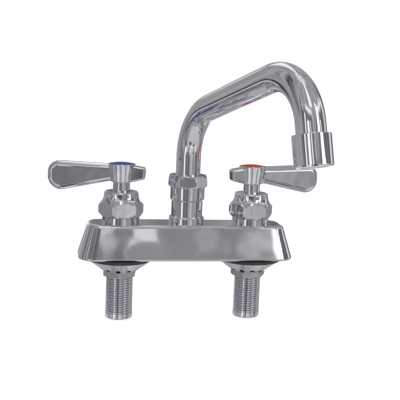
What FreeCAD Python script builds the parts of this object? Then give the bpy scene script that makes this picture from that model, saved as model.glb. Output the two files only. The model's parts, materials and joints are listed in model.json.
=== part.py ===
import FreeCAD, Part
import math
import os
from FreeCAD import Placement, Rotation, Vector

# Deck-mounted two-handle mixer tap with a swivel spout, in millimetres.
# Origin: midway between the shanks on the deck plane, +X towards the hot side, -Y to the front, +Z up.

# Body casting
valve_spacing = 101.6
body_length = 167.0
body_width = 45.0
body_corner_radius = 13.5
body_top_length = 151.0
body_top_width = 30.0
body_top_corner_radius = 9.5
body_height = 26.2
body_top_round = 3.0
body_bottom_round = 1.4
body_wall = 4.0
body_roof = 4.5
valve_boss_radius = 14.4
spout_boss_radius = 13.7
boss_height = 5.3
boss_chamfer = 0.6
gallery_height = 17.5
gallery_bore_radius = 4.5
gallery_wall = 3.2
chamber_radius = 10.6
seat_height = 11.0
seat_port_radius = 6.0
spout_passage_radius = 6.8

# Threaded shanks, half-inch straight pipe thread
thread_radius = 10.45
shank_below_deck = 48.6
shank_insertion = 9.0
shank_bore_radius = 6.6
shank_end_chamfer = 0.8
plain_end_length = 4.0
thread_start_width = 0.9
thread_start_depth = 0.6

# Deck clamp under the body: rubber washer, dished washer and lock nut
rubber_washer_radius = 25.0
rubber_washer_thickness = 2.2
dished_washer_radius = 25.0
dished_washer_height = 8.5
dished_washer_foot_radius = 13.6
dished_washer_sheet = 1.3
arch_count = 12
arch_radius = 1.9
arch_height = 2.6
lock_nut_flats = 24.0
lock_nut_height = 4.6
lock_nut_top_chamfer = 0.6
lock_nut_bottom_chamfer = 1.3
cold_nut_clock = 22.0
hot_nut_clock = 0.0

# Bonnets
bonnet_across_flats = 30.4
bonnet_turned_radius = 17.5
bonnet_foot_radius = 15.0
bonnet_foot_rise = 2.7
bonnet_hex_height = 8.4
bonnet_cove_rise = 4.4
bonnet_cove_radius = 7.0
bonnet_foot_round = 1.5
bonnet_hex_round = 0.6
bonnet_barrel_radius = 13.75
bonnet_top_radius = 13.0
bonnet_height = 18.9
bonnet_top_round = 1.6
bonnet_spigot_length = 7.5
bonnet_relief_radius = 6.6
bonnet_neck_length = 6.0
cold_bonnet_clock = 6.0
hot_bonnet_clock = 0.0

# Quarter-turn ceramic cartridges
seal_thickness = 1.5
disc_thickness = 3.0
disc_radius = 8.9
port_inner_radius = 2.2
port_outer_radius = 7.4
port_sweep = 80.0
cartridge_bore_radius = 9.0
cartridge_web = 3.0
cartridge_window_sweep = 70.0
thrust_washer_thickness = 0.75
stem_radius = 4.0
stem_foot_radius = 8.4
stem_foot_thickness = 1.75
tang_width = 3.0
tang_length = 12.0
tang_depth = 1.5
square_side = 5.6
square_length = 6.0

# Lever handles
handle_neck_radius = 6.5
handle_neck_length = 7.1
hub_bottom_radius = 8.6
hub_top_radius = 10.5
hub_height = 13.8
hub_bottom_round = 0.8
hub_rim = 1.0
cap_recess_depth = 1.6
screw_well_radius = 6.2
screw_well_depth = 5.6
screw_seat = 1.6
lever_reach = 56.0
lever_end_drop = 24.9
lever_rise = 1.3
lever_root_height = 13.2
lever_top_corner = 8.8
lever_bottom_corner = 10.2
lever_end_thickness = 11.0
lever_root_thickness = 9.6
lever_edge_round = 4.2
tail_edge_round = 1.6
tail_reach = 18.4
tail_height = 9.4
tail_drop = 1.8
tail_corner = 1.8
tail_thickness = 9.0
cold_lever_angle = 170.0
hot_lever_angle = 10.0

# Handle screws and index caps
screw_radius = 2.45
screw_head_radius = 4.4
screw_head_round = 1.2
screw_head_height = 2.8
screw_length = 13.0
screw_slot_width = 1.2
screw_slot_depth = 1.4
cap_thickness = 1.6
cap_dome = 1.2
cap_skirt_wall = 1.2
cap_skirt_length = 2.6

# Spout post, swivel nut and bearing
post_waist_step = 1.2
post_lower_height = 13.6
post_shoulder_width = 2.0
post_upper_height = 9.7
post_step_chamfer = 1.2
post_spigot_length = 9.5
post_spigot_radius = 9.9
post_thread_wall = 1.825
post_thread_length = 4.8
post_socket_depth = 19.1
swivel_nut_sides = 8
swivel_nut_bottom_wall = 3.6
swivel_nut_taper = 0.55
swivel_nut_height = 8.9
swivel_nut_chamfer = 2.1
swivel_nut_land = 0.2
swivel_nut_lip = 1.3
swivel_nut_clock = -7.5
bearing_thickness = 1.0
collar_thickness = 1.65

# Spout
tube_radius = 9.525
tube_wall = 1.25
spout_reach = 153.0
outlet_height = 87.3
spout_swing = 20.4
spout_tilt = 12.9
spout_rise_angle = 16.3
first_bend_radius = 41.0
second_bend_radius = 34.0
spout_last_run = 7.2
ferrule_length = 16.0
ferrule_plug_length = 5.0
ferrule_wall = 2.9

# Aerator
aerator_wall = 2.6
aerator_length = 19.9
aerator_edge = 0.9
aerator_lip = 1.3
aerator_lip_width = 1.005
aerator_grip = 7.5
aerator_washer_thickness = 1.8
screen_thickness = 0.6
screen_hole_radius = 0.75
insert_hole_radius = 1.05
hole_ring_pitch = 3.0

# Round seals and fits
o_ring_section = 1.6
o_ring_squeeze_gap = 0.03
thread_clearance = 0.08
running_clearance = 0.05
free_clearance = 0.3
slip_clearance = 0.1
lapped_gap = 0.02

# Levels and places worked out from the sizes above
cold_x = -valve_spacing / 2
hot_x = valve_spacing / 2
boss_top = body_height + boss_height
bonnet_top = boss_top + bonnet_height
hub_bottom = bonnet_top + handle_neck_length
hub_top = hub_bottom + hub_height
disc_bottom = seat_height + seal_thickness
disc_meeting = disc_bottom + disc_thickness
foot_bottom = disc_meeting + lapped_gap + disc_thickness
foot_top = foot_bottom + stem_foot_thickness
web_bottom = foot_top + lapped_gap + thrust_washer_thickness + lapped_gap
web_top = web_bottom + cartridge_web
screw_seat_level = hub_top - cap_recess_depth - screw_well_depth
stem_top = screw_seat_level - screw_seat - lapped_gap
square_bottom = stem_top - square_length
cap_recess_radius = hub_top_radius - hub_rim
bonnet_seal_radius = chamber_radius - thread_clearance - o_ring_squeeze_gap
stem_seal_level = bonnet_top - bonnet_neck_length / 2 - 0.5
post_shoulder = boss_top + post_lower_height
post_top = post_shoulder + post_upper_height
thread_top = post_top + post_thread_length
socket_bottom = thread_top - post_socket_depth
socket_radius = tube_radius + running_clearance
post_thread_radius = socket_radius + post_thread_wall
post_upper_radius = post_thread_radius + post_shoulder_width
post_lower_radius = post_upper_radius - post_waist_step
swivel_nut_bottom_flats = 2 * (post_thread_radius + thread_clearance + swivel_nut_bottom_wall)
swivel_nut_top_flats = swivel_nut_bottom_flats - 2 * swivel_nut_taper
aerator_bore_radius = tube_radius + thread_clearance
aerator_radius = aerator_bore_radius + aerator_wall
aerator_lip_radius = aerator_bore_radius - aerator_lip_width
swivel_nut_top = post_top + swivel_nut_height
collar_bottom = thread_top + bearing_thickness + lapped_gap
ferrule_bottom = socket_bottom + free_clearance
tube_bottom = ferrule_bottom + ferrule_length
tube_bore_radius = tube_radius - tube_wall
o_ring_radius = o_ring_section / 2
dished_top = -rubber_washer_thickness - lapped_gap
dished_bottom = dished_top - dished_washer_height
lock_nut_top = dished_bottom - lapped_gap
lock_nut_bottom = lock_nut_top - lock_nut_height


def profile_edges(corners, place):
    """Closed outline from (a, b, rounding) corners, each rounded by a tangent arc, in the plane of place."""
    count = len(corners)
    runs = []
    for i in range(count):
        a, b, radius = corners[i]
        here = Vector(a, b, 0)
        before = Vector(*corners[i - 1][:2], 0)
        after = Vector(*corners[(i + 1) % count][:2], 0)
        into = (here - before).normalize()
        out = (after - here).normalize()
        turn = into.getAngle(out)
        if radius <= 0 or turn < 1e-6:
            runs.append((here, None, here))
            continue
        reach = radius * math.tan(turn / 2)
        inward = (out - into).normalize()
        middle = here + inward * (radius / math.cos(turn / 2) - radius)
        runs.append((here - into * reach, middle, here + out * reach))
    edges = []
    for i in range(count):
        start, middle, end = runs[i]
        following = runs[(i + 1) % count][0]
        if middle is not None:
            edges.append(Part.Arc(place(start), place(middle), place(end)).toShape())
        if (following - end).Length > 1e-6:
            edges.append(Part.LineSegment(place(end), place(following)).toShape())
    return edges


def outline_face(corners, place):
    rounded = [corner if len(corner) == 3 else (*corner, 0.0) for corner in corners]
    return Part.Face(Part.Wire(profile_edges(rounded, place)))


def turned(corners, x=0.0):
    """Solid of revolution about the upright axis at x, from (radius, height, rounding) corners."""
    face = outline_face(corners, lambda p: Vector(x + p.x, 0, p.y))
    return face.revolve(Vector(x, 0, 0), Vector(0, 0, 1), 360)


def ring(inner, outer, bottom, top, x=0.0):
    return turned([(inner, bottom), (outer, bottom), (outer, top), (inner, top)], x)


def rod(radius, bottom, top, x=0.0):
    return Part.makeCylinder(radius, top - bottom, Vector(x, 0, bottom))


def sector(inner, outer, bottom, top, middle_angle, sweep, x=0.0):
    """Part of a ring, centred on middle_angle about the upright axis at x."""
    corners = [(inner, bottom), (outer, bottom), (outer, top), (inner, top)]
    face = outline_face(corners, lambda p: Vector(x + p.x, 0, p.y))
    piece = face.revolve(Vector(x, 0, 0), Vector(0, 0, 1), sweep)
    piece.rotate(Vector(x, 0, 0), Vector(0, 0, 1), middle_angle - sweep / 2)
    return piece


def polygon_wire(sides, across_flats, height, clock, x=0.0):
    """Regular polygon with a flat to the front, turned by clock degrees towards +X."""
    reach = across_flats / 2 / math.cos(math.pi / sides)
    points = []
    for i in range(sides + 1):
        angle = math.radians(clock - 90) + (2 * i + 1) * math.pi / sides
        points.append(Vector(x + reach * math.cos(angle), reach * math.sin(angle), height))
    return Part.makePolygon(points)


def polygon_prism(sides, bottom_flats, top_flats, bottom, top, clock, x=0.0):
    wires = [
        polygon_wire(sides, bottom_flats, bottom, clock, x),
        polygon_wire(sides, top_flats, top, clock, x),
    ]
    return Part.makeLoft(wires, True, True)


def o_ring(outer_radius, level, x=0.0):
    """Round seal whose outside reaches outer_radius."""
    return Part.makeTorus(outer_radius - o_ring_radius, o_ring_radius, Vector(x, 0, level))


def groove(outer_radius, level, x=0.0):
    """Ring to cut away for a round seal that reaches outer_radius."""
    floor = outer_radius - o_ring_section - lapped_gap
    half = o_ring_radius + slip_clearance
    return ring(floor, outer_radius + 1, level - half, level + half, x)


def save(name, shape):
    shape.exportStep("parts/" + name + ".step")


# Body


def rounded_rectangle(length, width, radius, height):
    a, b = length / 2, width / 2
    corners = [(-a, -b, radius), (a, -b, radius), (a, b, radius), (-a, b, radius)]
    return Part.Wire(profile_edges(corners, lambda p: Vector(p.x, p.y, height)))


def edges_at(shape, height):
    found = []
    for edge in shape.Edges:
        box = edge.BoundBox
        if abs(box.ZMin - height) < 1e-4 and abs(box.ZMax - height) < 1e-4:
            found.append(edge)
    return found


def body_shell():
    """Drafted casting with rounded edges, hollow from below."""
    bottom = rounded_rectangle(body_length, body_width, body_corner_radius, 0)
    top = rounded_rectangle(body_top_length, body_top_width, body_top_corner_radius, body_height)
    outer = Part.makeLoft([bottom, top], True, True)
    outer = outer.makeFillet(body_top_round, edges_at(outer, body_height))
    outer = outer.makeFillet(body_bottom_round, edges_at(outer, 0))
    ceiling = body_height - body_roof
    share = ceiling / body_height
    sizes = []
    for start, end in (
        (body_length, body_top_length),
        (body_width, body_top_width),
        (body_corner_radius, body_top_corner_radius),
    ):
        sizes.append((start, start + (end - start) * share))
    (length0, length1), (width0, width1), (radius0, radius1) = sizes
    cut = 2 * body_wall
    mouth = rounded_rectangle(length0 - cut, width0 - cut, radius0 - body_wall, 0)
    deep = rounded_rectangle(length1 - cut, width1 - cut, radius1 - body_wall, ceiling)
    return outer.cut(Part.makeLoft([mouth, deep], True, True))


def boss(radius, bottom, x):
    corners = [
        (0, bottom),
        (radius, bottom),
        (radius, boss_top - boss_chamfer),
        (radius - boss_chamfer, boss_top),
        (0, boss_top),
    ]
    return turned(corners, x)


def make_body():
    gallery_radius = gallery_bore_radius + gallery_wall
    along_x = Vector(1, 0, 0)
    gallery_start = Vector(cold_x, 0, gallery_height)
    solids = [
        boss(valve_boss_radius, 0, cold_x),
        boss(valve_boss_radius, 0, hot_x),
        boss(spout_boss_radius, gallery_height - gallery_radius, 0),
        Part.makeCylinder(gallery_radius, valve_spacing, gallery_start, along_x),
    ]
    cuts = [Part.makeCylinder(gallery_bore_radius, valve_spacing, gallery_start, along_x)]
    for x in (cold_x, hot_x):
        cuts.append(rod(chamber_radius, seat_height, boss_top, x))
        cuts.append(rod(seat_port_radius, shank_insertion, seat_height, x))
        cuts.append(rod(thread_radius + thread_clearance, 0, shank_insertion, x))
    spigot_floor = boss_top - post_spigot_length - lapped_gap
    cuts.append(rod(post_spigot_radius + thread_clearance, spigot_floor, boss_top))
    cuts.append(rod(spout_passage_radius, gallery_height - gallery_bore_radius, spigot_floor))
    return body_shell().fuse(solids).removeSplitter().cut(cuts)


# Shanks and deck clamp


def make_shank(x):
    end = -shank_below_deck
    groove_bottom = end + plain_end_length
    groove_top = groove_bottom + thread_start_width
    top = shank_insertion - lapped_gap
    root = thread_radius - thread_start_depth
    return turned(
        [
            (shank_bore_radius, end),
            (thread_radius - shank_end_chamfer, end),
            (thread_radius, end + shank_end_chamfer),
            (thread_radius, groove_bottom),
            (root, groove_bottom),
            (root, groove_top),
            (thread_radius, groove_top),
            (thread_radius, top),
            (shank_bore_radius, top),
        ],
        x,
    )


def make_rubber_washer(x):
    inner = thread_radius + free_clearance
    return ring(inner, rubber_washer_radius, -rubber_washer_thickness, 0, x)


def make_dished_washer(x, clock):
    """Sheet cone with a flat foot, its lower corner pierced by a ring of arches."""
    run = dished_washer_radius - dished_washer_foot_radius
    slant = math.hypot(run, dished_washer_height)
    across = dished_washer_sheet * slant / dished_washer_height
    foot_top = dished_bottom + dished_washer_sheet
    inner_foot = dished_washer_foot_radius - across + dished_washer_sheet * run / dished_washer_height
    hole = thread_radius + free_clearance
    washer = turned(
        [
            (hole, dished_bottom),
            (dished_washer_foot_radius, dished_bottom),
            (dished_washer_radius, dished_top),
            (dished_washer_radius - across, dished_top),
            (inner_foot, foot_top),
            (hole, foot_top),
        ],
        x,
    )
    inner_reach = (hole + dished_washer_foot_radius) / 2
    arches = []
    for i in range(arch_count):
        angle = math.radians(clock - 90 + i * 360 / arch_count)
        along = Vector(math.cos(angle), math.sin(angle), 0)
        start = Vector(x, 0, dished_bottom + arch_height - arch_radius) + along * inner_reach
        arches.append(Part.makeCylinder(arch_radius, dished_washer_radius, start, along))
    return washer.cut(arches)


def make_lock_nut(x, clock):
    corner = lock_nut_flats / 2 / math.cos(math.pi / 6)
    hexagon = polygon_prism(6, lock_nut_flats, lock_nut_flats, lock_nut_bottom, lock_nut_top, clock, x)
    envelope = turned(
        [
            (0, lock_nut_bottom),
            (corner - lock_nut_bottom_chamfer, lock_nut_bottom),
            (corner, lock_nut_bottom + lock_nut_bottom_chamfer),
            (corner, lock_nut_top - lock_nut_top_chamfer),
            (corner - lock_nut_top_chamfer, lock_nut_top),
            (0, lock_nut_top),
        ],
        x,
    )
    bore = rod(thread_radius + thread_clearance, lock_nut_bottom, lock_nut_top, x)
    return hexagon.common(envelope).cut(bore)


# Bonnets and cartridges


def make_bonnet(x, clock):
    """Hexagon turned down to a coved barrel, with a threaded spigot below."""
    foot_top_level = boss_top + bonnet_foot_rise
    hex_top = boss_top + bonnet_hex_height
    cove_top = hex_top + bonnet_cove_rise
    turned_form = turned(
        [
            (0, boss_top),
            (bonnet_foot_radius, boss_top),
            (bonnet_turned_radius, foot_top_level, bonnet_foot_round),
            (bonnet_turned_radius, hex_top, bonnet_hex_round),
            (bonnet_barrel_radius, cove_top, bonnet_cove_radius),
            (bonnet_top_radius, bonnet_top, bonnet_top_round),
            (0, bonnet_top),
        ],
        x,
    )
    hexagon = polygon_prism(6, bonnet_across_flats, bonnet_across_flats, boss_top, bonnet_top, clock, x)
    spigot_bottom = boss_top - bonnet_spigot_length
    spigot_radius = chamber_radius - thread_clearance
    bonnet = turned_form.common(hexagon).fuse(rod(spigot_radius, spigot_bottom, boss_top, x))
    neck_bottom = bonnet_top - bonnet_neck_length
    counterbore = bonnet_top - free_clearance - 0.7
    bonnet = bonnet.cut(
        [
            rod(bonnet_relief_radius, spigot_bottom, neck_bottom, x),
            rod(stem_radius + running_clearance, neck_bottom, counterbore, x),
            rod(handle_neck_radius + free_clearance, counterbore, bonnet_top, x),
            groove(bonnet_seal_radius, boss_top - bonnet_spigot_length / 2, x),
        ]
    )
    return bonnet


def make_bonnet_seal(x):
    return o_ring(bonnet_seal_radius, boss_top - bonnet_spigot_length / 2, x)


def make_cartridge_housing(x):
    """Sleeve that holds the discs, with two side windows to the gallery."""
    outer = chamber_radius - slip_clearance
    top = boss_top - bonnet_spigot_length - lapped_gap
    sleeve = turned(
        [
            (cartridge_bore_radius, disc_bottom),
            (outer, disc_bottom),
            (outer, top),
            (stem_radius + running_clearance, top),
            (stem_radius + running_clearance, web_bottom),
            (cartridge_bore_radius, web_bottom),
        ],
        x,
    )
    windows = []
    for angle in (0, 180):
        windows.append(
            sector(disc_radius - 1, chamber_radius, disc_meeting, foot_top, angle, cartridge_window_sweep, x)
        )
    return sleeve.cut(windows)


def make_seat_seal(x):
    return ring(seat_port_radius, chamber_radius - free_clearance, seat_height, disc_bottom - lapped_gap, x)


def disc(bottom, port_angle, x):
    plate = rod(disc_radius, bottom, bottom + disc_thickness, x)
    ports = []
    for angle in (port_angle, port_angle + 180):
        ports.append(
            sector(port_inner_radius, port_outer_radius, bottom, bottom + disc_thickness, angle, port_sweep, x)
        )
    return plate.cut(ports)


def make_fixed_disc(x):
    return disc(disc_bottom, 0, x)


def tang(x, grow):
    width = tang_width + grow
    length = tang_length + grow
    corner = Vector(x - width / 2, -length / 2, foot_bottom - tang_depth)
    return Part.makeBox(width, length, tang_depth, corner)


def make_moving_disc(x):
    return disc(disc_meeting + lapped_gap, 90, x).cut(tang(x, slip_clearance))


def make_thrust_washer(x):
    bottom = foot_top + lapped_gap
    return ring(stem_radius + free_clearance, stem_foot_radius, bottom, bottom + thrust_washer_thickness, x)


def make_stem(x, lever_angle):
    """Spindle with a foot and tang below and, in line with the lever, a square for the handle on top."""
    stem = rod(stem_radius, foot_bottom, square_bottom, x).fuse(
        [
            rod(stem_foot_radius, foot_bottom, foot_top, x),
            tang(x, 0),
            polygon_prism(4, square_side, square_side, square_bottom, stem_top, lever_angle, x),
        ]
    )
    hole_bottom = screw_seat_level - screw_length - free_clearance
    return stem.removeSplitter().cut(
        [
            rod(screw_radius + thread_clearance, hole_bottom, stem_top, x),
            groove(stem_radius + running_clearance - o_ring_squeeze_gap, stem_seal_level, x),
        ]
    )


def make_stem_seal(x):
    return o_ring(stem_radius + running_clearance - o_ring_squeeze_gap, stem_seal_level, x)


# Handles


def lever_blank():
    """Paddle and tail in side view, tapered in plan: a well rounded paddle and a squarer tail."""
    root_top = hub_top - 0.3
    end_top = root_top + lever_rise
    root_bottom = root_top - lever_root_height
    tail_top = root_top - tail_drop
    side = [
        (-tail_reach, tail_top - 0.5, tail_corner),
        (-hub_bottom_radius, root_top - 0.8),
        (hub_bottom_radius, root_top),
        (lever_reach, end_top, lever_top_corner),
        (lever_reach, end_top - lever_end_drop, lever_bottom_corner),
        (hub_bottom_radius, root_bottom),
        (-hub_bottom_radius, root_bottom),
        (-tail_reach + 0.8, tail_top - tail_height, tail_corner),
    ]
    widest = max(lever_end_thickness, lever_root_thickness, tail_thickness)
    blank = outline_face(side, lambda p: Vector(p.x, -widest / 2, p.y)).extrude(Vector(0, widest, 0))
    plan = [
        (-tail_reach, -tail_thickness / 2),
        (0, -lever_root_thickness / 2),
        (lever_reach, -lever_end_thickness / 2),
        (lever_reach, lever_end_thickness / 2),
        (0, lever_root_thickness / 2),
        (-tail_reach, tail_thickness / 2),
    ]
    low = end_top - lever_end_drop - 1
    high = end_top + 1
    prism = outline_face(plan, lambda p: Vector(p.x, p.y, low)).extrude(Vector(0, 0, high - low))
    blank = blank.common(prism)
    reach = lever_reach + tail_reach
    halves = []
    for start, radius in ((0, lever_edge_round), (-reach, tail_edge_round)):
        half = blank.common(Part.makeBox(reach, 2 * widest, high - low, Vector(start, -widest, low)))
        rims = []
        for edge in half.Edges:
            box = edge.BoundBox
            if box.YMin > 0 or box.YMax < 0:
                if max(box.XLength, box.ZLength) > 0.5 and not (abs(box.XMin) < 1e-6 and abs(box.XMax) < 1e-6):
                    rims.append(edge)
        halves.append(half.makeFillet(radius, rims))
    return halves


def make_handle(x, lever_angle):
    neck_bottom = bonnet_top - 0.7
    hub = turned(
        [
            (0, neck_bottom),
            (handle_neck_radius, neck_bottom),
            (handle_neck_radius, hub_bottom),
            (hub_bottom_radius, hub_bottom, hub_bottom_round),
            (hub_top_radius, hub_top - 0.5, 0.4),
            (hub_top_radius - 0.3, hub_top),
            (0, hub_top),
        ]
    )
    recess_floor = hub_top - cap_recess_depth
    handle = hub.fuse(lever_blank()).removeSplitter().cut(
        [
            rod(cap_recess_radius, recess_floor, hub_top + lever_rise),
            rod(screw_well_radius, screw_seat_level, recess_floor),
            rod(screw_radius + free_clearance, stem_top, screw_seat_level),
            polygon_prism(
                4,
                square_side + slip_clearance,
                square_side + slip_clearance,
                square_bottom,
                screw_seat_level - screw_seat,
                0,
            ),
            rod(stem_radius + slip_clearance, neck_bottom, square_bottom),
        ]
    )
    return on_valve(handle, x, lever_angle)


def on_valve(piece, x, angle):
    piece.Placement = Placement(Vector(x, 0, 0), Rotation(Vector(0, 0, 1), angle))
    return piece


def make_handle_screw(x):
    head_top = screw_seat_level + screw_head_height
    screw = turned(
        [
            (0, screw_seat_level - screw_length),
            (screw_radius, screw_seat_level - screw_length),
            (screw_radius, screw_seat_level),
            (screw_head_radius, screw_seat_level),
            (screw_head_radius, head_top, screw_head_round),
            (0, head_top),
        ],
        x,
    )
    corner = Vector(x - screw_slot_width / 2, -screw_head_radius, head_top - screw_slot_depth)
    return screw.cut(Part.makeBox(screw_slot_width, 2 * screw_head_radius, screw_slot_depth, corner))


def make_index_cap(x):
    """Shallow domed disc with a snap skirt."""
    floor = hub_top - cap_recess_depth + lapped_gap
    edge_top = floor + cap_thickness
    radius = cap_recess_radius - slip_clearance
    skirt = screw_well_radius - slip_clearance
    dome_radius = (radius ** 2 + cap_dome ** 2) / (2 * cap_dome)
    half = math.asin(radius / dome_radius) / 2
    dome = Part.Arc(
        Vector(x + radius, 0, edge_top),
        Vector(x + dome_radius * math.sin(half), 0, edge_top + cap_dome - dome_radius * (1 - math.cos(half))),
        Vector(x, 0, edge_top + cap_dome),
    )
    points = [
        (0, edge_top + cap_dome),
        (0, floor),
        (skirt - cap_skirt_wall, floor),
        (skirt - cap_skirt_wall, floor - cap_skirt_length),
        (skirt, floor - cap_skirt_length),
        (skirt, floor),
        (radius, floor),
        (radius, edge_top),
    ]
    edges = [dome.toShape()]
    for start, end in zip(points, points[1:]):
        edges.append(Part.LineSegment(Vector(x + start[0], 0, start[1]), Vector(x + end[0], 0, end[1])).toShape())
    return Part.Face(Part.Wire(edges)).revolve(Vector(x, 0, 0), Vector(0, 0, 1), 360)


# Spout post and swivel


def make_spout_post():
    """Turned post that screws into the body and takes the swivelling spout."""
    post = turned(
        [
            (spout_passage_radius, boss_top - post_spigot_length),
            (post_spigot_radius, boss_top - post_spigot_length),
            (post_spigot_radius, boss_top),
            (post_lower_radius, boss_top),
            (post_lower_radius, post_shoulder - post_step_chamfer),
            (post_upper_radius, post_shoulder),
            (post_upper_radius, post_top - boss_chamfer),
            (post_upper_radius - boss_chamfer, post_top),
            (post_thread_radius, post_top),
            (post_thread_radius, thread_top),
            (socket_radius, thread_top),
            (socket_radius, socket_bottom),
            (spout_passage_radius, socket_bottom),
        ]
    )
    return post.cut(groove(post_spigot_radius, boss_top - post_spigot_length / 2))


def make_post_seal():
    return o_ring(post_spigot_radius, boss_top - post_spigot_length / 2)


def make_swivel_nut():
    """Eight-sided nut with chamfered ends and an inward lip over the collar."""
    bottom_corner = swivel_nut_bottom_flats / 2 / math.cos(math.pi / swivel_nut_sides)
    top_corner = swivel_nut_top_flats / 2 / math.cos(math.pi / swivel_nut_sides)
    blank = polygon_prism(
        swivel_nut_sides,
        swivel_nut_bottom_flats,
        swivel_nut_top_flats,
        post_top,
        swivel_nut_top,
        swivel_nut_clock,
    )
    envelope = turned(
        [
            (0, post_top),
            (swivel_nut_bottom_flats / 2 - swivel_nut_land, post_top),
            (bottom_corner, post_top + swivel_nut_chamfer),
            (top_corner, swivel_nut_top - swivel_nut_chamfer),
            (swivel_nut_top_flats / 2 - 2 * swivel_nut_land, swivel_nut_top),
            (0, swivel_nut_top),
        ]
    )
    lip_bottom = swivel_nut_top - swivel_nut_lip
    return blank.common(envelope).cut(
        [
            rod(post_thread_radius + thread_clearance, post_top, lip_bottom),
            rod(tube_radius + slip_clearance, lip_bottom, swivel_nut_top),
        ]
    )


def make_bearing_washer():
    outer = post_thread_radius - slip_clearance
    return ring(tube_radius + slip_clearance, outer, thread_top, thread_top + bearing_thickness)


def make_spout_collar():
    outer = post_thread_radius - free_clearance
    return ring(tube_radius + lapped_gap, outer, collar_bottom, collar_bottom + collar_thickness)


def ferrule_seal_levels():
    step = ferrule_length / 3
    return [ferrule_bottom + step, ferrule_bottom + 2 * step]


def make_spout_ferrule():
    """Brazed end of the tube with two seal grooves."""
    bore = tube_radius - ferrule_wall
    plug = tube_bore_radius - lapped_gap
    shoulder = tube_bottom - lapped_gap
    ferrule = turned(
        [
            (bore, ferrule_bottom),
            (tube_radius, ferrule_bottom),
            (tube_radius, shoulder),
            (plug, shoulder),
            (plug, shoulder + ferrule_plug_length),
            (bore, shoulder + ferrule_plug_length),
        ]
    )
    outer = socket_radius - o_ring_squeeze_gap
    return ferrule.cut([groove(outer, level) for level in ferrule_seal_levels()])


def make_spout_seals():
    outer = socket_radius - o_ring_squeeze_gap
    return Part.makeCompound([o_ring(outer, level) for level in ferrule_seal_levels()])


# Spout tube and aerator, drawn with the spout along +X and then swung


def outlet_frame():
    """Top of the aerator: distance from the swivel axis, height, and the unit vector down the outlet."""
    tilt = math.radians(spout_tilt)
    down = Vector(math.sin(tilt), 0, -math.cos(tilt))
    mouth = Vector(spout_reach, 0, outlet_height)
    return mouth - down * aerator_length, down


def spout_path():
    """Riser, bend, incline, bend and short drop, worked back from the outlet."""
    top, down = outlet_frame()
    rise = math.radians(spout_rise_angle)
    along = Vector(math.cos(rise), 0, math.sin(rise))
    above = Vector(-math.sin(rise), 0, math.cos(rise))
    end = top + down * (aerator_grip - lapped_gap)
    drop_start = top - down * spout_last_run
    inward = Vector(down.z, 0, -down.x)
    second_centre = drop_start + inward * second_bend_radius
    incline_end = second_centre + above * second_bend_radius
    crown_direction = (above - inward).normalize()
    second_middle = second_centre + crown_direction * second_bend_radius
    first_run = first_bend_radius * (1 - math.sin(rise))
    incline = (incline_end.x - first_run) / math.cos(rise)
    incline_start = incline_end - along * incline
    first_centre = incline_start - above * first_bend_radius
    riser_top = Vector(0, 0, first_centre.z)
    outward = (above + Vector(-1, 0, 0)).normalize()
    first_middle = first_centre + outward * first_bend_radius
    edges = [
        Part.LineSegment(Vector(0, 0, tube_bottom), riser_top).toShape(),
        Part.Arc(riser_top, first_middle, incline_start).toShape(),
        Part.LineSegment(incline_start, incline_end).toShape(),
        Part.Arc(incline_end, second_middle, drop_start).toShape(),
        Part.LineSegment(drop_start, end).toShape(),
    ]
    return Part.Wire(edges)


def swept(path, radius):
    circle = Part.Wire(Part.makeCircle(radius, Vector(0, 0, tube_bottom), Vector(0, 0, 1)))
    return path.makePipeShell([circle], True, False)


def swung(piece):
    turn = Placement(Vector(0, 0, 0), Rotation(Vector(0, 0, 1), spout_swing - 90))
    piece.Placement = turn.multiply(piece.Placement)
    return piece


def make_spout_tube():
    path = spout_path()
    return swung(swept(path, tube_radius).cut(swept(path, tube_bore_radius)))


def at_outlet(piece):
    """Moves a piece drawn hanging down from the origin to the end of the spout."""
    top, _ = outlet_frame()
    piece.Placement = Placement(top, Rotation(Vector(0, 1, 0), -spout_tilt))
    return swung(piece)


def make_aerator_housing():
    inside = aerator_bore_radius
    lip_top = -aerator_length + aerator_lip
    housing = turned(
        [
            (inside, 0),
            (aerator_radius, 0, 0.5),
            (aerator_radius, -aerator_length + aerator_edge),
            (aerator_radius - aerator_edge, -aerator_length),
            (aerator_lip_radius, -aerator_length),
            (aerator_lip_radius, lip_top),
            (inside, lip_top),
        ]
    )
    return at_outlet(housing)


def make_aerator_washer():
    washer = ring(
        tube_bore_radius - 1,
        tube_radius - lapped_gap,
        -aerator_grip - aerator_washer_thickness,
        -aerator_grip - lapped_gap,
    )
    return at_outlet(washer)


def holes_in_rings(radius, bottom, top):
    """One centre hole and two rings of holes."""
    holes = [rod(radius, bottom, top)]
    for ring_number in (1, 2):
        count = 6 * ring_number
        for i in range(count):
            angle = 2 * math.pi * i / count
            reach = hole_ring_pitch * ring_number
            centre = Vector(reach * math.cos(angle), reach * math.sin(angle), bottom)
            holes.append(Part.makeCylinder(radius, top - bottom, centre))
    return holes


def make_aerator_screen():
    top = -aerator_grip - aerator_washer_thickness - lapped_gap
    bottom = top - screen_thickness
    screen = rod(tube_radius - lapped_gap, bottom, top)
    return at_outlet(screen.cut(holes_in_rings(screen_hole_radius, bottom, top)))


def make_aerator_insert():
    top = -aerator_grip - aerator_washer_thickness - screen_thickness - 2 * lapped_gap
    bottom = -aerator_length + aerator_lip + lapped_gap
    insert = rod(tube_radius - lapped_gap, bottom, top)
    return at_outlet(insert.cut(holes_in_rings(insert_hole_radius, bottom, top)))


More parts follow.
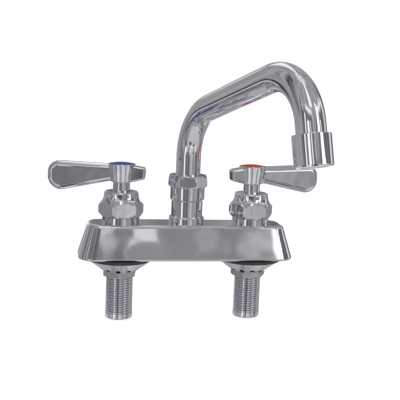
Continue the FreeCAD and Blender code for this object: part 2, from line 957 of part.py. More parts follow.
os.makedirs("parts", exist_ok=True)
save("body", make_body())
for side, x, nut_clock, bonnet_clock, lever_angle in (
    ("cold", cold_x, cold_nut_clock, cold_bonnet_clock, cold_lever_angle),
    ("hot", hot_x, hot_nut_clock, hot_bonnet_clock, hot_lever_angle),
):
    save(side + "_shank", make_shank(x))
    save(side + "_rubber_washer", make_rubber_washer(x))
    save(side + "_dished_washer", make_dished_washer(x, nut_clock))
    save(side + "_lock_nut", make_lock_nut(x, nut_clock))
    save(side + "_bonnet", make_bonnet(x, bonnet_clock))
    save(side + "_bonnet_seal", make_bonnet_seal(x))
    save(side + "_cartridge_housing", make_cartridge_housing(x))
    save(side + "_seat_seal", make_seat_seal(x))
    save(side + "_fixed_disc", make_fixed_disc(x))
    save(side + "_moving_disc", make_moving_disc(x))
    save(side + "_thrust_washer", make_thrust_washer(x))
    save(side + "_stem", make_stem(x, lever_angle))
    save(side + "_stem_seal", make_stem_seal(x))
    save(side + "_handle", make_handle(x, lever_angle))
    save(side + "_handle_screw", make_handle_screw(x))
    save(side + "_index_cap", make_index_cap(x))
save("spout_post", make_spout_post())
save("spout_post_seal", make_post_seal())
save("swivel_nut", make_swivel_nut())
save("spout_bearing_washer", make_bearing_washer())
save("spout_collar", make_spout_collar())
save("spout_ferrule", make_spout_ferrule())
save("spout_seals", make_spout_seals())
save("spout_tube", make_spout_tube())
save("aerator_housing", make_aerator_housing())
save("aerator_washer", make_aerator_washer())
save("aerator_screen", make_aerator_screen())
save("aerator_insert", make_aerator_insert())
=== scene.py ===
import json
import math

import bmesh
import bpy
from mathutils import Matrix, Vector


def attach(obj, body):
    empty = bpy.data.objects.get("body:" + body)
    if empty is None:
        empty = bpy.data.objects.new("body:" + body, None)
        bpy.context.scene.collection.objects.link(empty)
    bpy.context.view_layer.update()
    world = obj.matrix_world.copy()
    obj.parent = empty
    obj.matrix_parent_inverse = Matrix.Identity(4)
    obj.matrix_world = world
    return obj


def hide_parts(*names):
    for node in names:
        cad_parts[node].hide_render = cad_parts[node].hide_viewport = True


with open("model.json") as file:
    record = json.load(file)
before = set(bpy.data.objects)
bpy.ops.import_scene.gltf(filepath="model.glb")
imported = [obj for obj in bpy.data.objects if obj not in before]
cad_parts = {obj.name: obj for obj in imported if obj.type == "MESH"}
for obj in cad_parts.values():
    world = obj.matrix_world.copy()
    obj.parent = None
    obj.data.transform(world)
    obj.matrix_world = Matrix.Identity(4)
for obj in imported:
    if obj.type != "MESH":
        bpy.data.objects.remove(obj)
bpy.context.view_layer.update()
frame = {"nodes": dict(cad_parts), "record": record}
scene = bpy.context.scene
nodes = frame["nodes"]
print("frame loaded with", len(nodes), "nodes")


# camera, set from the photograph's own perspective
cameraSet = {
    "azimuth": -10.049,
    "elevation": 8.909,
    "roll": 2.244,
    "place": (-0.094697, -0.591832, 0.138185),
    "lens": 70.57,
    "sensor": 36.0,
    "nearest": 0.01,
}


def makeCamera(setting):
    azimuth = math.radians(setting["azimuth"])
    elevation = math.radians(setting["elevation"])
    roll = math.radians(setting["roll"])
    back = Vector((
        math.sin(azimuth) * math.cos(elevation),
        -math.cos(azimuth) * math.cos(elevation),
        math.sin(elevation),
    ))
    level = Vector((0, 0, 1)).cross(back).normalized()
    upright = back.cross(level)
    right = math.cos(roll) * level + math.sin(roll) * upright
    up = math.cos(roll) * upright - math.sin(roll) * level
    data = bpy.data.cameras.new("photoCamera")
    data.lens = setting["lens"]
    data.sensor_width = setting["sensor"]
    data.clip_start = setting["nearest"]
    camera = bpy.data.objects.new("photoCamera", data)
    turn = Matrix((right, up, back)).transposed().to_4x4()
    camera.matrix_world = Matrix.Translation(setting["place"]) @ turn
    scene.collection.objects.link(camera)
    scene.camera = camera


makeCamera(cameraSet)
print("camera placed")


# studio: pale floor, white surround to the eye, and for the reflections a grey room of soft windows,
# white cards and a white sheet
studio = {
    "floorLevel": -0.0492,
    "floorSize": 40.0,
    "floorTone": (0.86, 0.86, 0.86, 1),
    "floorRough": 0.9,
    "floorGlow": 0.72,
    "whiteToEye": 1.0,
    "roomTone": 0.37,
    "darkestTone": 0.05,
    "roomTint": (0.985, 0.98, 1.03),
    "cloudScale": 6.0,
    "cloudDetail": 4.0,
    "cloudDepth": 0.06,
    "drapes": {"turns": 0.16, "rise": 0.03, "detail": 2.0, "depth": 0.11},
    # each window: azimuth and elevation of its middle, half its width and height, soft edge, and the light
    # it adds or, below zero, takes away
    # degrees throughout, azimuth 0 is straight in front and grows to the right
    "windows": {
        "frontHigh": {"at": (-4, 59), "half": (9, 18), "soft": 4, "adds": 0.85},
        "backHighLeft": {"at": (-180, 55), "half": (13, 22), "soft": 5, "adds": 0.70},
        "backHighRight": {"at": (180, 55), "half": (7, 22), "soft": 5, "adds": 0.70},
        "leftShelf": {"at": (-26, 31), "half": (20, 2.5), "soft": 3, "adds": 0.60},
        "rightShelf": {"at": (72, 33), "half": (20, 2.5), "soft": 3, "adds": 0.60},
        "leftTube": {"at": (-44, -10), "half": (2.5, 14), "soft": 2, "adds": 1.10},
        "leftSlitFar": {"at": (-57, 12), "half": (2, 6), "soft": 2.5, "adds": 1.00},
        "leftSlitWide": {"at": (-36, 11), "half": (5, 5), "soft": 2.5, "adds": 1.10},
        "leftSlitNear": {"at": (-20, 12), "half": (1.5, 4), "soft": 2.5, "adds": 1.00},
        "rightSlit": {"at": (104, 14), "half": (6, 12), "soft": 4, "adds": 0.65},
        "lowRight": {"at": (108, -11), "half": (3, 5), "soft": 3, "adds": 0.50},
        "paperInFront": {"at": (14, -28), "half": (52, 6), "soft": 5, "adds": 0.34},
        "paperCrease": {"at": (-15, -27), "half": (5, 10), "soft": 3, "adds": -0.40},
        "paperFold": {"at": (33, -27), "half": (5, 10), "soft": 3, "adds": -0.40},
        "hexGleam": {"at": (19, -9), "half": (5, 3.5), "soft": 3, "adds": 0.19},
        "cornerGleam": {"at": (3.5, 20.3), "half": (0.3, 0.4), "soft": 0.4, "adds": 0.50},
        "cornerStreak": {"at": (2.8, 19.8), "half": (0.15, 1.2), "soft": 0.25, "adds": 0.50},
        "cornerDark": {"at": (2.3, 19.5), "half": (0.12, 1.5), "soft": 0.25, "adds": -0.20},
        "cornerFold": {"at": (5.0, 19.0), "half": (0.15, 0.9), "soft": 0.35, "adds": 0.12},
        "cornerShade": {"at": (4.3, 19.0), "half": (0.35, 1.0), "soft": 0.4, "adds": -0.12},
        "paleFloor": {"at": (0, -50), "half": (95, 14), "soft": 12, "adds": 0.20},
        "ceiling": {"at": (0, 86), "half": (180, 5), "soft": 8, "adds": 0.45},
        "darkLeft": {"at": (-99, 30), "half": (7, 22), "soft": 6, "adds": -0.22},
        "darkRight": {"at": (127, 14), "half": (8, 12), "soft": 6, "adds": -0.22},
        "darkFront": {"at": (-17, -5), "half": (15, 9), "soft": 5, "adds": -0.18},
        "darkNearRight": {"at": (69, -9), "half": (5, 9), "soft": 4, "adds": -0.22},
        "darkFloor": {"at": (-12, -55), "half": (10, 18), "soft": 5, "adds": -0.45},
        "darkFloorRight": {"at": (27, -55), "half": (9, 18), "soft": 5, "adds": -0.45},
        "darkFloorLeft": {"at": (-125, -26), "half": (25, 12), "soft": 10, "adds": -0.10},
        "darkBackLeft": {"at": (-132, -11.5), "half": (16, 2.5), "soft": 2.5, "adds": -0.20},
        "lineBackLeft": {"at": (-130, -19), "half": (18, 1.0), "soft": 1.5, "adds": 0.45},
        "darkBackRight": {"at": (139, -9), "half": (14, 5), "soft": 6, "adds": -0.14},
        "dimFront": {"at": (10, 14), "half": (8, 7), "soft": 4, "adds": -0.09},
        "dimLeft": {"at": (-40, 14), "half": (36, 8), "soft": 5, "adds": -0.18},
        "dimRight": {"at": (64, 14), "half": (42, 8), "soft": 5, "adds": -0.18},
        "rightHaze": {"at": (15.2, 19.0), "half": (0.6, 0.5), "soft": 1.3, "adds": 0.32},
        "midHaze": {"at": (11.3, 19.6), "half": (0.6, 0.8), "soft": 1.0, "adds": 0.13},
        "leftCorner": {"at": (-67, 22), "half": (2.5, 3), "soft": 1.5, "adds": 0.50},
        "lowSlit": {"at": (0, -17), "half": (4, 3), "soft": 2, "adds": 0.16},
        "lowBand": {"at": (0, -17), "half": (50, 3), "soft": 3, "adds": 0.12},
        "dimSideLeft": {"at": (-73, -9), "half": (18, 4), "soft": 4, "adds": -0.13},
        "dimBackRight": {"at": (171, 11), "half": (8, 5), "soft": 5, "adds": -0.13},
        "floorRing": {"at": (0, -70), "half": (180, 3), "soft": 3, "adds": -0.22},
        "underGlow": {"at": (0, -84), "half": (180, 6), "soft": 4, "adds": 0.50},
        "coneGleam": {"at": (158, -62), "half": (12, 8), "soft": 8, "adds": 0.28},
        "dimFloorLeft": {"at": (-60, -42), "half": (34, 15), "soft": 8, "adds": -0.20},
        "backSlitLeft": {"at": (-166, -12), "half": (3, 18), "soft": 3, "adds": 0.60},
        "backSlitRight": {"at": (159, -12), "half": (4, 16), "soft": 3, "adds": 0.50},
        "backDark": {"at": (175, -14), "half": (7, 14), "soft": 4, "adds": -0.18},
        "backHaze": {"at": (-168, 19), "half": (4, 2), "soft": 5, "adds": 0.35},
    },
    # white cards close by: two ends in plan, lowest and highest edge, brightness
    "cards": {
        "frontLamp": {"ends": ((0.023, -0.74), (0.063, -0.74)), "levels": (0.268, 0.42), "glow": 0.52},
        "rightCard": {"ends": ((0.1465, -0.2912), (0.713, -0.467)), "levels": (0.080, 0.185), "glow": 1.3},
        "rightCardNear": {"ends": ((0.154, -0.294), (0.270, -0.330)), "levels": (0.185, 0.33), "glow": 1.3},
        "rightCardFar": {"ends": ((0.420, -0.376), (0.713, -0.467)), "levels": (0.185, 0.31), "glow": 1.3},
    },
    # white sheet lying in front of the body: two corners in plan, level, brightness
    "sheet": {"corners": ((-0.091, -0.112), (0.062, -0.026)), "level": -0.004, "glow": 0.62},
}
noiseReach = (0.3, 0.7)


def hangCard(name, setting):
    near, far = (Vector((*end, 0)) for end in setting["ends"])
    low, high = setting["levels"]
    along = (far - near).normalized()
    facing = along.cross(Vector((0, 0, 1)))
    if facing.dot(near + far) > 0:
        along.negate()
        facing.negate()
    data = bpy.data.lights.new(name, "AREA")
    data.shape = "RECTANGLE"
    data.size = (far - near).length
    data.size_y = high - low
    data.energy = setting["glow"] * math.pi * data.size * data.size_y
    lamp = bpy.data.objects.new(name, data)
    turn = Matrix((-along, Vector((0, 0, 1)), -facing)).transposed().to_4x4()
    lamp.matrix_world = Matrix.Translation((near + far) / 2 + Vector((0, 0, (low + high) / 2))) @ turn
    lamp.visible_camera = False
    scene.collection.objects.link(lamp)


def addPlane(name, middle, width, depth):
    # level rectangle with a material of its own
    bm = bmesh.new()
    bmesh.ops.create_grid(bm, x_segments=1, y_segments=1, size=0.5)
    bmesh.ops.scale(bm, vec=(width, depth, 1), verts=bm.verts)
    bmesh.ops.translate(bm, vec=middle, verts=bm.verts)
    mesh = bpy.data.meshes.new(name)
    bm.to_mesh(mesh)
    bm.free()
    plane = bpy.data.objects.new(name, mesh)
    scene.collection.objects.link(plane)
    material = bpy.data.materials.new(name)
    material.use_nodes = True
    mesh.materials.append(material)
    return plane, material.node_tree


def laySheet(setting, tint):
    # seen only in reflections, and only from above
    left, right = (Vector((*corner, setting["level"])) for corner in setting["corners"])
    sheet, tree = addPlane("whiteSheet", (left + right) / 2, right.x - left.x, right.y - left.y)
    shader = tree.nodes["Principled BSDF"]
    shader.inputs["Base Color"].default_value = (0, 0, 0, 1)
    shader.inputs["Specular IOR Level"].default_value = 0
    shader.inputs["Emission Color"].default_value = (*tint, 1)
    shader.inputs["Emission Strength"].default_value = setting["glow"]
    side = tree.nodes.new("ShaderNodeNewGeometry")
    tree.links.new(addMath(tree, "SUBTRACT", 1.0, side.outputs["Backfacing"]), shader.inputs["Alpha"])
    sheet.visible_camera = False
    sheet.visible_diffuse = False
    sheet.visible_shadow = False


def makeFloor(setting):
    size = setting["floorSize"]
    floor, tree = addPlane("studioFloor", (0, 0, setting["floorLevel"]), size, size)
    shader = tree.nodes["Principled BSDF"]
    shader.inputs["Base Color"].default_value = setting["floorTone"]
    shader.inputs["Roughness"].default_value = setting["floorRough"]
    shader.inputs["Emission Color"].default_value = (1, 1, 1, 1)
    shader.inputs["Emission Strength"].default_value = setting["floorGlow"]
    floor.visible_glossy = False


def newGroup(name, inputs, outputs):
    group = bpy.data.node_groups.new(name, "ShaderNodeTree")
    for label, kind, value in inputs:
        socket = group.interface.new_socket(label, in_out="INPUT", socket_type=kind)
        if value is not None:
            socket.default_value = value
    for label, kind in outputs:
        group.interface.new_socket(label, in_out="OUTPUT", socket_type=kind)
    return group, group.nodes.new("NodeGroupInput"), group.nodes.new("NodeGroupOutput")


def addMath(tree, operation, first, second=None):
    node = tree.nodes.new("ShaderNodeMath")
    node.operation = operation
    for socket, value in zip(node.inputs, (first, second)):
        if isinstance(value, (int, float)):
            socket.default_value = value
        elif value is not None:
            tree.links.new(value, socket)
    return node.outputs["Value"]


def spreadNoise(tree, value, low=0.0, high=1.0):
    # noise keeps near its middle, so its usual reach is stretched from low to high
    spread = tree.nodes.new("ShaderNodeMapRange")
    spread.inputs["From Min"].default_value, spread.inputs["From Max"].default_value = noiseReach
    spread.inputs["To Min"].default_value = low
    spread.inputs["To Max"].default_value = high
    tree.links.new(value, spread.inputs["Value"])
    return spread.outputs["Result"]


def makeWindow():
    # one soft-edged window on the walls of the room
    labels = ["Light", "Azimuth", "Elevation", "Middle X", "Middle Y", "Half X", "Half Y", "Soft", "Adds"]
    group, into, out = newGroup(
        "roomWindow", [(label, "NodeSocketFloat", 0.0) for label in labels], [("Light", "NodeSocketFloat")]
    )
    inside = []
    for angle, middle, half in (("Azimuth", "Middle X", "Half X"), ("Elevation", "Middle Y", "Half Y")):
        away = addMath(group, "SUBTRACT", into.outputs[angle], into.outputs[middle])
        fade = group.nodes.new("ShaderNodeMapRange")
        fade.interpolation_type = "SMOOTHSTEP"
        fade.inputs["To Min"].default_value = 1.0
        fade.inputs["To Max"].default_value = 0.0
        group.links.new(addMath(group, "ABSOLUTE", away), fade.inputs["Value"])
        group.links.new(into.outputs[half], fade.inputs["From Min"])
        edge = addMath(group, "ADD", into.outputs[half], into.outputs["Soft"])
        group.links.new(edge, fade.inputs["From Max"])
        inside.append(fade.outputs["Result"])
    share = addMath(group, "MULTIPLY", inside[0], inside[1])
    added = addMath(group, "MULTIPLY", share, into.outputs["Adds"])
    total = addMath(group, "ADD", added, into.outputs["Light"])
    group.links.new(total, out.inputs["Light"])
    return group


def hangDrapes(tree, azimuth, elevation, drapes):
    # narrow upright folds of tone all round the room
    spread = tree.nodes.new("ShaderNodeCombineXYZ")
    tree.links.new(addMath(tree, "MULTIPLY", azimuth, drapes["turns"]), spread.inputs["X"])
    tree.links.new(addMath(tree, "MULTIPLY", elevation, drapes["rise"]), spread.inputs["Y"])
    fold = tree.nodes.new("ShaderNodeTexNoise")
    fold.inputs["Scale"].default_value = 1.0
    fold.inputs["Detail"].default_value = drapes["detail"]
    tree.links.new(spread.outputs["Vector"], fold.inputs["Vector"])
    return spreadNoise(tree, fold.outputs["Fac"], -drapes["depth"], drapes["depth"])


def makeRoom(setting):
    world = bpy.data.worlds.new("studioRoom")
    scene.world = world
    world.use_nodes = True
    tree = world.node_tree
    tree.nodes.clear()
    link = tree.links.new
    place = tree.nodes.new("ShaderNodeTexCoord")
    cloud = tree.nodes.new("ShaderNodeTexNoise")
    cloud.inputs["Scale"].default_value = setting["cloudScale"]
    cloud.inputs["Detail"].default_value = setting["cloudDetail"]
    link(place.outputs["Generated"], cloud.inputs["Vector"])
    lowest = setting["roomTone"] - setting["cloudDepth"]
    highest = setting["roomTone"] + setting["cloudDepth"]
    tone = spreadNoise(tree, cloud.outputs["Fac"], lowest, highest)
    way = tree.nodes.new("ShaderNodeSeparateXYZ")
    link(place.outputs["Generated"], way.inputs["Vector"])
    ahead = addMath(tree, "MULTIPLY", way.outputs["Y"], -1.0)
    azimuth = addMath(tree, "DEGREES", addMath(tree, "ARCTAN2", way.outputs["X"], ahead))
    elevation = addMath(tree, "DEGREES", addMath(tree, "ARCSINE", way.outputs["Z"]))
    window = makeWindow()
    folds = hangDrapes(tree, azimuth, elevation, setting["drapes"])
    total = addMath(tree, "ADD", tone, folds)
    for row in setting["windows"].values():
        opening = tree.nodes.new("ShaderNodeGroup")
        opening.node_tree = window
        opening.inputs["Middle X"].default_value, opening.inputs["Middle Y"].default_value = row["at"]
        opening.inputs["Half X"].default_value, opening.inputs["Half Y"].default_value = row["half"]
        opening.inputs["Soft"].default_value = row["soft"]
        opening.inputs["Adds"].default_value = row["adds"]
        link(total, opening.inputs["Light"])
        link(azimuth, opening.inputs["Azimuth"])
        link(elevation, opening.inputs["Elevation"])
        total = opening.outputs["Light"]
    tint = tree.nodes.new("ShaderNodeVectorMath")
    tint.operation = "SCALE"
    tint.inputs[0].default_value = setting["roomTint"]
    room = tree.nodes.new("ShaderNodeBackground")
    white = tree.nodes.new("ShaderNodeBackground")
    white.inputs["Color"].default_value = (1, 1, 1, 1)
    white.inputs["Strength"].default_value = setting["whiteToEye"]
    eye = tree.nodes.new("ShaderNodeLightPath")
    mix = tree.nodes.new("ShaderNodeMixShader")
    out = tree.nodes.new("ShaderNodeOutputWorld")
    link(addMath(tree, "MAXIMUM", total, setting["darkestTone"]), tint.inputs["Scale"])
    link(tint.outputs["Vector"], room.inputs["Color"])
    link(eye.outputs["Is Camera Ray"], mix.inputs["Fac"])
    link(room.outputs["Background"], mix.inputs[1])
    link(white.outputs["Background"], mix.inputs[2])
    link(mix.outputs["Shader"], out.inputs["Surface"])


makeFloor(studio)
makeRoom(studio)
for cardName, card in studio["cards"].items():
    hangCard(cardName, card)
laySheet(studio["sheet"], studio["roomTint"])
scene.view_settings.view_transform = "Standard"
print("studio lit")


# shared surface effects
handlingSet = {"smearDetail": 4.0, "smearTwist": 0.8, "speckleDetail": 2.0, "speckleShare": 0.35}
waveDetail = 1.0
shankAxis = 0.0508


def makeHandling():
    # faint smears and fine speckle, given out as roughness and a colour blend
    group, into, out = newGroup(
        "handling",
        [
            ("Vector", "NodeSocketVector", None),
            ("Smear Scale", "NodeSocketFloat", 40.0),
            ("Speckle Scale", "NodeSocketFloat", 900.0),
            ("Rough Low", "NodeSocketFloat", 0.05),
            ("Rough High", "NodeSocketFloat", 0.15),
            ("Clean Color", "NodeSocketColor", (0.8, 0.8, 0.8, 1)),
            ("Worn Color", "NodeSocketColor", (0.6, 0.6, 0.6, 1)),
        ],
        [("Color", "NodeSocketColor"), ("Roughness", "NodeSocketFloat"), ("Height", "NodeSocketFloat")],
    )
    link = group.links.new
    smear = group.nodes.new("ShaderNodeTexNoise")
    smear.inputs["Detail"].default_value = handlingSet["smearDetail"]
    smear.inputs["Distortion"].default_value = handlingSet["smearTwist"]
    speckle = group.nodes.new("ShaderNodeTexNoise")
    speckle.inputs["Detail"].default_value = handlingSet["speckleDetail"]
    blend = group.nodes.new("ShaderNodeMix")
    blend.data_type = "FLOAT"
    blend.inputs["Factor"].default_value = handlingSet["speckleShare"]
    wear = spreadNoise(group, blend.outputs["Result"])
    rough = group.nodes.new("ShaderNodeMapRange")
    tone = group.nodes.new("ShaderNodeMix")
    tone.data_type = "RGBA"
    link(into.outputs["Vector"], smear.inputs["Vector"])
    link(into.outputs["Smear Scale"], smear.inputs["Scale"])
    link(into.outputs["Vector"], speckle.inputs["Vector"])
    link(into.outputs["Speckle Scale"], speckle.inputs["Scale"])
    link(smear.outputs["Fac"], blend.inputs["A"])
    link(speckle.outputs["Fac"], blend.inputs["B"])
    link(wear, rough.inputs["Value"])
    link(into.outputs["Rough Low"], rough.inputs["To Min"])
    link(into.outputs["Rough High"], rough.inputs["To Max"])
    link(wear, tone.inputs["Factor"])
    link(into.outputs["Clean Color"], tone.inputs["A"])
    link(into.outputs["Worn Color"], tone.inputs["B"])
    link(tone.outputs["Result"], out.inputs["Color"])
    link(rough.outputs["Result"], out.inputs["Roughness"])
    link(speckle.outputs["Fac"], out.inputs["Height"])
    return group


def makePolishWave():
    # slow swells that a polishing wheel leaves in plated castings
    group, into, out = newGroup(
        "polishWave",
        [("Vector", "NodeSocketVector", None), ("Scale", "NodeSocketFloat", 45.0)],
        [("Height", "NodeSocketFloat")],
    )
    link = group.links.new
    wave = group.nodes.new("ShaderNodeTexNoise")
    wave.inputs["Detail"].default_value = waveDetail
    link(into.outputs["Vector"], wave.inputs["Vector"])
    link(into.outputs["Scale"], wave.inputs["Scale"])
    link(wave.outputs["Fac"], out.inputs["Height"])
    return group


handling = makeHandling()
polishWave = makePolishWave()


def makeAroundShank():
    # distance from the nearer shank's axis, and height
    group, into, out = newGroup(
        "aroundShank",
        [("Vector", "NodeSocketVector", None), ("Axis", "NodeSocketFloat", shankAxis)],
        [("Radius", "NodeSocketFloat"), ("Level", "NodeSocketFloat")],
    )
    split = group.nodes.new("ShaderNodeSeparateXYZ")
    group.links.new(into.outputs["Vector"], split.inputs["Vector"])
    aside = addMath(group, "ABSOLUTE", split.outputs["X"])
    across = addMath(group, "SUBTRACT", aside, into.outputs["Axis"])
    acrossSquare = addMath(group, "MULTIPLY", across, across)
    alongSquare = addMath(group, "MULTIPLY", split.outputs["Y"], split.outputs["Y"])
    radius = addMath(group, "SQRT", addMath(group, "ADD", acrossSquare, alongSquare))
    group.links.new(radius, out.inputs["Radius"])
    group.links.new(split.outputs["Z"], out.inputs["Level"])
    return group


aroundShank = makeAroundShank()


def paintHollowShade(tree, place, tone, hollow):
    # painted shade: base colour darkened where the surface lies deeper than a cone round the shank, by the
    # depth below it, standing in for the shade in thread roots and recesses
    around = tree.nodes.new("ShaderNodeGroup")
    around.node_tree = aroundShank
    around.inputs["Axis"].default_value = hollow["axis"]
    tree.links.new(place, around.inputs["Vector"])
    rise = addMath(tree, "SUBTRACT", around.outputs["Level"], hollow["level"])
    cone = addMath(tree, "ADD", addMath(tree, "MULTIPLY", rise, hollow["slope"]), hollow["radius"])
    deep = tree.nodes.new("ShaderNodeMapRange")
    deep.inputs["From Min"].default_value = hollow["depths"][0]
    deep.inputs["From Max"].default_value = hollow["depths"][1]
    tree.links.new(addMath(tree, "SUBTRACT", cone, around.outputs["Radius"]), deep.inputs["Value"])
    blend = tree.nodes.new("ShaderNodeMix")
    blend.data_type = "RGBA"
    blend.inputs["B"].default_value = (*hollow["shade"], 1)
    tree.links.new(deep.outputs["Result"], blend.inputs["Factor"])
    tree.links.new(tone, blend.inputs["A"])
    return blend.outputs["Result"]


def makeFinish(name, look):
    material = bpy.data.materials.new(name)
    material.use_nodes = True
    tree = material.node_tree
    link = tree.links.new
    shader = tree.nodes["Principled BSDF"]
    shader.inputs["Metallic"].default_value = look["metal"]
    place = tree.nodes.new("ShaderNodeTexCoord")
    worn = tree.nodes.new("ShaderNodeGroup")
    worn.node_tree = handling
    worn.inputs["Smear Scale"].default_value = look["smear"]
    worn.inputs["Speckle Scale"].default_value = look["speckle"]
    worn.inputs["Rough Low"].default_value = look["rough"][0]
    worn.inputs["Rough High"].default_value = look["rough"][1]
    worn.inputs["Clean Color"].default_value = (*look["clean"], 1)
    worn.inputs["Worn Color"].default_value = (*look["worn"], 1)
    link(place.outputs["Object"], worn.inputs["Vector"])
    if "specular" in look:
        shader.inputs["Specular IOR Level"].default_value = look["specular"]
    tone = worn.outputs["Color"]
    # painted shade in hollows, for finishes that ask for it
    if "hollow" in look:
        tone = paintHollowShade(tree, place.outputs["Object"], tone, look["hollow"])
    link(tone, shader.inputs["Base Color"])
    link(worn.outputs["Roughness"], shader.inputs["Roughness"])
    bump = tree.nodes.new("ShaderNodeBump")
    bump.inputs["Distance"].default_value = look["bump"]
    if look.get("wave"):
        swell = tree.nodes.new("ShaderNodeGroup")
        swell.node_tree = polishWave
        swell.inputs["Scale"].default_value = look["wave"]
        link(place.outputs["Object"], swell.inputs["Vector"])
        link(swell.outputs["Height"], bump.inputs["Height"])
    else:
        link(worn.outputs["Height"], bump.inputs["Height"])
    link(bump.outputs["Normal"], shader.inputs["Normal"])
    return material


finishes = {
    "chrome": {
        "metal": 1.0, "smear": 38.0, "speckle": 700.0, "rough": (0.02, 0.06),
        "clean": (0.81, 0.81, 0.83), "worn": (0.76, 0.76, 0.78), "bump": 0.00003, "wave": 60.0,
    },
    "chromeCast": {
        "metal": 1.0, "smear": 38.0, "speckle": 700.0, "rough": (0.035, 0.09),
        "clean": (0.80, 0.80, 0.82), "worn": (0.73, 0.73, 0.75), "bump": 0.00022, "wave": 40.0,
    },
    "chromeLever": {
        "metal": 1.0, "smear": 38.0, "speckle": 700.0, "rough": (0.04, 0.09),
        "clean": (0.80, 0.80, 0.82), "worn": (0.74, 0.74, 0.76), "bump": 0.00065, "wave": 42.0,
    },
    "chromeHex": {
        "metal": 1.0, "smear": 50.0, "speckle": 800.0, "rough": (0.03, 0.08),
        "clean": (0.81, 0.81, 0.83), "worn": (0.75, 0.75, 0.77), "bump": 0.00016, "wave": 95.0,
    },
    "chrome_thread": {
        "metal": 1.0, "smear": 70.0, "speckle": 900.0, "rough": (0.08, 0.20),
        "clean": (0.90, 0.90, 0.93), "worn": (0.80, 0.80, 0.83), "bump": 0.00004,
        # painted shade in the thread roots, darker the deeper below the crest radius
        "hollow": {
            "axis": shankAxis, "radius": 0.01030, "level": 0.0, "slope": 0.0,
            "depths": (0.0, 0.0008), "shade": (0.60, 0.60, 0.62),
        },
    },
    "zincWasher": {
        "metal": 0.9, "smear": 90.0, "speckle": 1100.0, "rough": (0.14, 0.30),
        "clean": (0.93, 0.93, 0.91), "worn": (0.78, 0.78, 0.77), "bump": 0.00005,
        # painted shade: near black on the arches' cut walls and on the inside of the dished washer, below
        # its outer cone
        "hollow": {
            "axis": shankAxis, "radius": 0.0136, "level": -0.0107, "slope": 1.3412,
            "depths": (0.00008, 0.0004), "shade": (0.015, 0.015, 0.015),
        },
    },
    "zincNut": {
        "metal": 0.9, "smear": 90.0, "speckle": 1100.0, "rough": (0.14, 0.28),
        "clean": (0.60, 0.60, 0.60), "worn": (0.46, 0.46, 0.46), "bump": 0.00005,
        # painted shade: near black on the nut's top face under the dished washer, seen through its arches
        "hollow": {
            "axis": shankAxis, "radius": 0.0140, "level": -0.0107, "slope": 40.0,
            "depths": (0.0002, 0.0008), "shade": (0.015, 0.015, 0.015),
        },
    },
    "steel": {
        "metal": 1.0, "smear": 120.0, "speckle": 1200.0, "rough": (0.25, 0.40),
        "clean": (0.64, 0.64, 0.64), "worn": (0.52, 0.52, 0.52), "bump": 0.00003,
    },
    "brass": {
        "metal": 1.0, "smear": 90.0, "speckle": 1000.0, "rough": (0.22, 0.38),
        "clean": (0.76, 0.58, 0.28), "worn": (0.58, 0.43, 0.20), "bump": 0.00003,
    },
    "rubber": {
        "metal": 0.0, "smear": 80.0, "speckle": 1400.0, "rough": (0.62, 0.85),
        "clean": (0.020, 0.020, 0.021), "worn": (0.050, 0.049, 0.048), "bump": 0.00006,
    },
    "nylon": {
        "metal": 0.0, "smear": 70.0, "speckle": 1000.0, "rough": (0.40, 0.60),
        "clean": (0.84, 0.83, 0.79), "worn": (0.72, 0.71, 0.67), "bump": 0.00003,
    },
    "ceramic": {
        "metal": 0.0, "smear": 60.0, "speckle": 1500.0, "rough": (0.12, 0.24),
        "clean": (0.90, 0.89, 0.86), "worn": (0.82, 0.81, 0.78), "bump": 0.00001,
    },
    "cold_index": {
        "metal": 0.0, "smear": 90.0, "speckle": 1300.0, "rough": (0.20, 0.34),
        "clean": (0.012, 0.13, 0.60), "worn": (0.010, 0.10, 0.50), "bump": 0.00002, "specular": 0.06,
    },
    "hot_index": {
        "metal": 0.0, "smear": 90.0, "speckle": 1300.0, "rough": (0.20, 0.34),
        "clean": (0.88, 0.065, 0.017), "worn": (0.76, 0.050, 0.013), "bump": 0.00002, "specular": 0.06,
    },
}
# pieces whose finish differs from the others of their slot
finishOf = {
    "body": "chromeCast",
    "cold_handle": "chromeLever", "hot_handle": "chromeLever",
    "cold_dished_washer": "zincWasher", "hot_dished_washer": "zincWasher",
    "cold_lock_nut": "zincNut", "hot_lock_nut": "zincNut",
    "cold_bonnet": "chromeHex", "hot_bonnet": "chromeHex", "swivel_nut": "chromeHex",
}
materials = {}
for finishName, look in finishes.items():
    materials[finishName] = makeFinish(finishName + "Finish", look)
for row in frame["record"]["subparts"]:
    holder = nodes[row["node"]]
    holder.data.materials.clear()
    holder.data.materials.append(materials[finishOf.get(row["node"], row["material_slot"])])
print("finishes on", len(nodes), "nodes")


# helpers for modelled pieces, drawn in millimetres
millimetre = 0.001


def turnProfile(bm, points, steps, x=0.0):
    verts = [bm.verts.new((x + radius, 0, z)) for radius, z in points]
    edges = [bm.edges.new(pair) for pair in zip(verts, verts[1:])]
    bmesh.ops.spin(
        bm, geom=verts + edges, cent=(x, 0, 0), axis=(0, 0, 1),
        angle=2 * math.pi, steps=steps, use_merge=True,
    )


def openRim(bm, z, slack=0.01):
    rim = []
    for edge in bm.edges:
        if edge.is_boundary and all(abs(v.co.z - z) < slack for v in edge.verts):
            rim.append(edge)
    return rim


def finishPiece(bm, name, body, slotName, replaced, sharpAngle=35):
    bmesh.ops.scale(bm, vec=(millimetre, millimetre, millimetre), verts=bm.verts)
    bmesh.ops.recalc_face_normals(bm, faces=bm.faces)
    mesh = bpy.data.meshes.new(name)
    bm.to_mesh(mesh)
    bm.free()
    mesh.shade_smooth()
    mesh.set_sharp_from_angle(angle=math.radians(sharpAngle))
    mesh.materials.append(materials[slotName])
    piece = bpy.data.objects.new(name, mesh)
    scene.collection.objects.link(piece)
    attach(piece, body)
    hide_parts(*replaced)


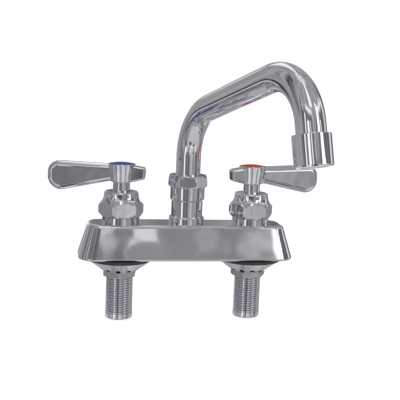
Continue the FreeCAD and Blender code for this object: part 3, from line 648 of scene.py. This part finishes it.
# inlet shanks with a cut pipe thread, a run-out groove and a plain end band
shank = {
    "crest": 10.45,
    "root": 9.45,
    "bore": 6.6,
    "pitch": 25.4 / 14,
    # where the ridge rises, is full and falls, as shares of the pitch
    "riseStart": 0.14,
    "crestStart": 0.46,
    "crestEnd": 0.68,
    "top": 8.9,
    "threadEnd": -43.7,
    "grooveEnd": -44.6,
    "groove": 9.85,
    "end": -48.6,
    "chamfer": 0.8,
    "stepsPerTurn": 48,
    "endSteps": 96,
    "mergeWithin": 0.002,
    "cutWithin": 0.0001,
    "centre": 50.8,
}


def makeShank(side, x):
    pitch = shank["pitch"]
    steps = shank["stepsPerTurn"]
    turns = math.ceil((shank["top"] - shank["threadEnd"]) / pitch) + 2
    low = shank["threadEnd"] - pitch
    bm = bmesh.new()
    ridge = [
        (shank["root"], 0.0),
        (shank["root"], shank["riseStart"]),
        (shank["crest"], shank["crestStart"]),
        (shank["crest"], shank["crestEnd"]),
        (shank["root"], 1.0),
    ]
    verts = [bm.verts.new((x + radius, 0, low + share * pitch)) for radius, share in ridge]
    edges = [bm.edges.new(pair) for pair in zip(verts, verts[1:])]
    bmesh.ops.spin(
        bm, geom=verts + edges, cent=(x, 0, 0), axis=(0, 0, 1), dvec=(0, 0, pitch / steps),
        angle=2 * math.pi * turns, steps=steps * turns,
    )
    bmesh.ops.remove_doubles(bm, verts=bm.verts, dist=shank["mergeWithin"])
    for level, outward in ((shank["top"], 1), (shank["threadEnd"], -1)):
        bmesh.ops.bisect_plane(
            bm, geom=bm.verts[:] + bm.edges[:] + bm.faces[:], dist=shank["cutWithin"],
            plane_co=(0, 0, level), plane_no=(0, 0, outward), clear_outer=True,
        )
    threadTop = openRim(bm, shank["top"])
    threadBottom = openRim(bm, shank["threadEnd"])
    outer, end = shank["crest"], shank["end"]
    turnProfile(
        bm,
        [
            (shank["bore"], shank["top"]),
            (shank["bore"], end),
            (outer - shank["chamfer"], end),
            (outer, end + shank["chamfer"]),
            (outer, shank["grooveEnd"]),
            (shank["groove"], shank["grooveEnd"]),
            (shank["groove"], shank["threadEnd"]),
        ],
        shank["endSteps"],
        x,
    )
    boreTop = [e for e in openRim(bm, shank["top"]) if e not in threadTop]
    grooveTop = [e for e in openRim(bm, shank["threadEnd"]) if e not in threadBottom]
    bmesh.ops.bridge_loops(bm, edges=threadTop + boreTop)
    bmesh.ops.bridge_loops(bm, edges=threadBottom + grooveTop)
    print(side, "shank open edges:", sum(1 for e in bm.edges if not e.is_manifold))
    finishPiece(bm, side + "_threaded_shank", "tap_body", "chrome_thread", [side + "_shank"])


makeShank("cold", -shank["centre"])
makeShank("hot", shank["centre"])
print("shanks threaded")
